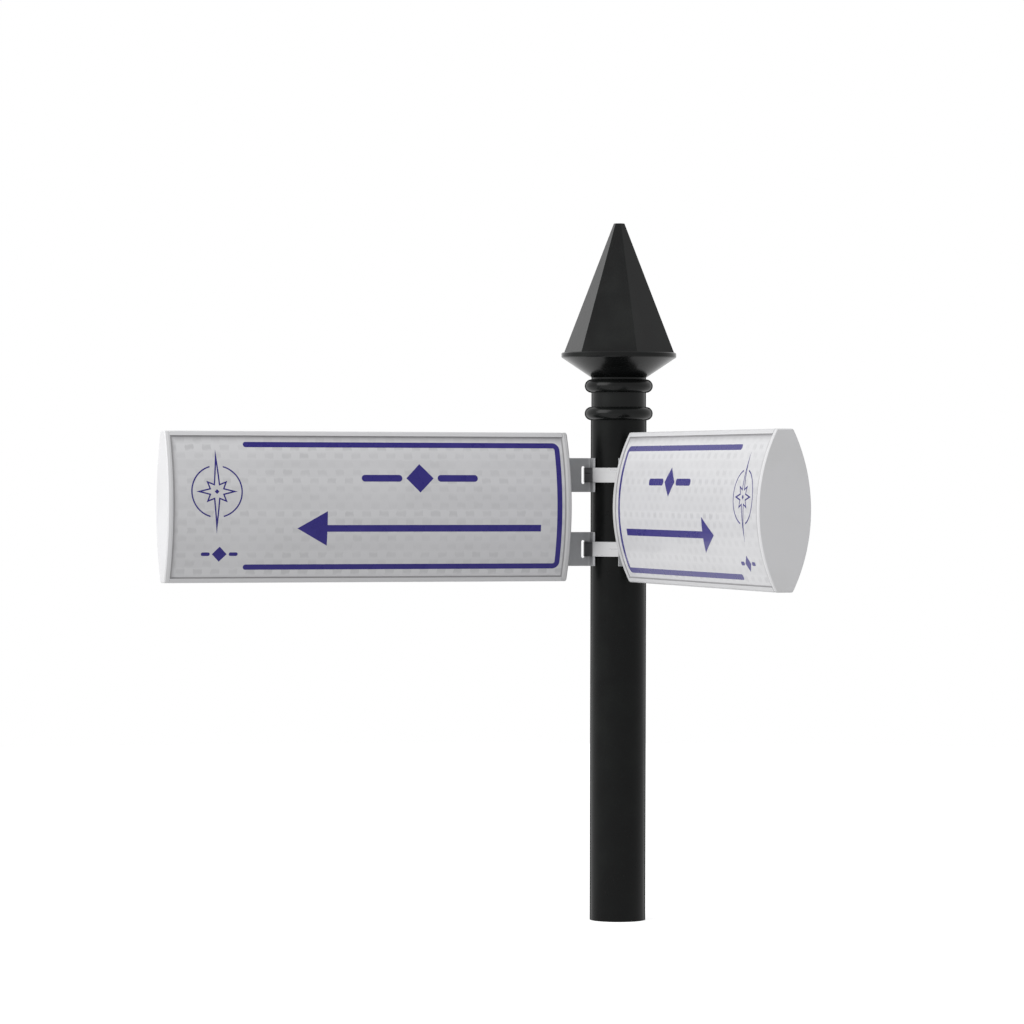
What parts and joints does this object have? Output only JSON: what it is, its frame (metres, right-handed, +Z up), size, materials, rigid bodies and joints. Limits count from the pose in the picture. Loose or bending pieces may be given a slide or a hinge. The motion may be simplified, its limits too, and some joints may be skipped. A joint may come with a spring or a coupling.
{
  "type": "street name sign",
  "caption": "Street corner name sign: double-sided curved sign boxes at a right angle, strapped to a round post that ends in a cast bell, rim and six-sided spire.",
  "frame": {"origin": "centre of the post's lower end, on the post's axis", "axes": "+Z up along the post; the left sign runs out along -X and the right sign along -Y, both centred 564.5 mm above the origin; the picture looks at it from the -Y side, a little from -X"},
  "size_m": [0.7167, 0.7167, 0.9518],
  "materials": {
    "post_paint": "satin black paint",
    "finial_paint": "satin black paint on a casting",
    "rail_aluminium": "satin anodised",
    "panel_aluminium": "mill finish",
    "sign_sheeting": "retroreflective film, satin",
    "cap_paint": "pale grey powder coat",
    "bracket_steel": "dull galvanised",
    "band_stainless": "satin stainless",
    "fastener_steel": "bright zinc plate",
    "print_vinyl": "violet cut vinyl, satin",
    "seal_rubber": "dark edge seal, matte"
  },
  "bodies": {
    "root": {"post_tube": "post_paint", "spire_finial": "finial_paint", "finial_set_screws": "finial_paint", "left_top_rail": "rail_aluminium", "left_bottom_rail": "rail_aluminium", "left_front_panel": "panel_aluminium", "left_back_panel": "panel_aluminium", "left_front_sheeting": "sign_sheeting", "left_back_sheeting": "sign_sheeting", "left_outer_end_cap": "cap_paint", "left_inner_end_cap": "cap_paint", "left_upper_tie_rod": "fastener_steel", "left_lower_tie_rod": "fastener_steel", "left_upper_bracket": "bracket_steel", "left_lower_bracket": "bracket_steel", "left_bracket_bolts": "fastener_steel", "right_top_rail": "rail_aluminium", "right_bottom_rail": "rail_aluminium", "right_front_panel": "panel_aluminium", "right_back_panel": "panel_aluminium", "right_front_sheeting": "sign_sheeting", "right_back_sheeting": "sign_sheeting", "right_outer_end_cap": "cap_paint", "right_inner_end_cap": "cap_paint", "right_upper_tie_rod": "fastener_steel", "right_lower_tie_rod": "fastener_steel", "right_upper_bracket": "bracket_steel", "right_lower_bracket": "bracket_steel", "right_bracket_bolts": "fastener_steel", "upper_strap": "band_stainless", "lower_strap": "band_stainless", "upper_buckle": "band_stainless", "lower_buckle": "band_stainless"}
  },
  "joints": []
}
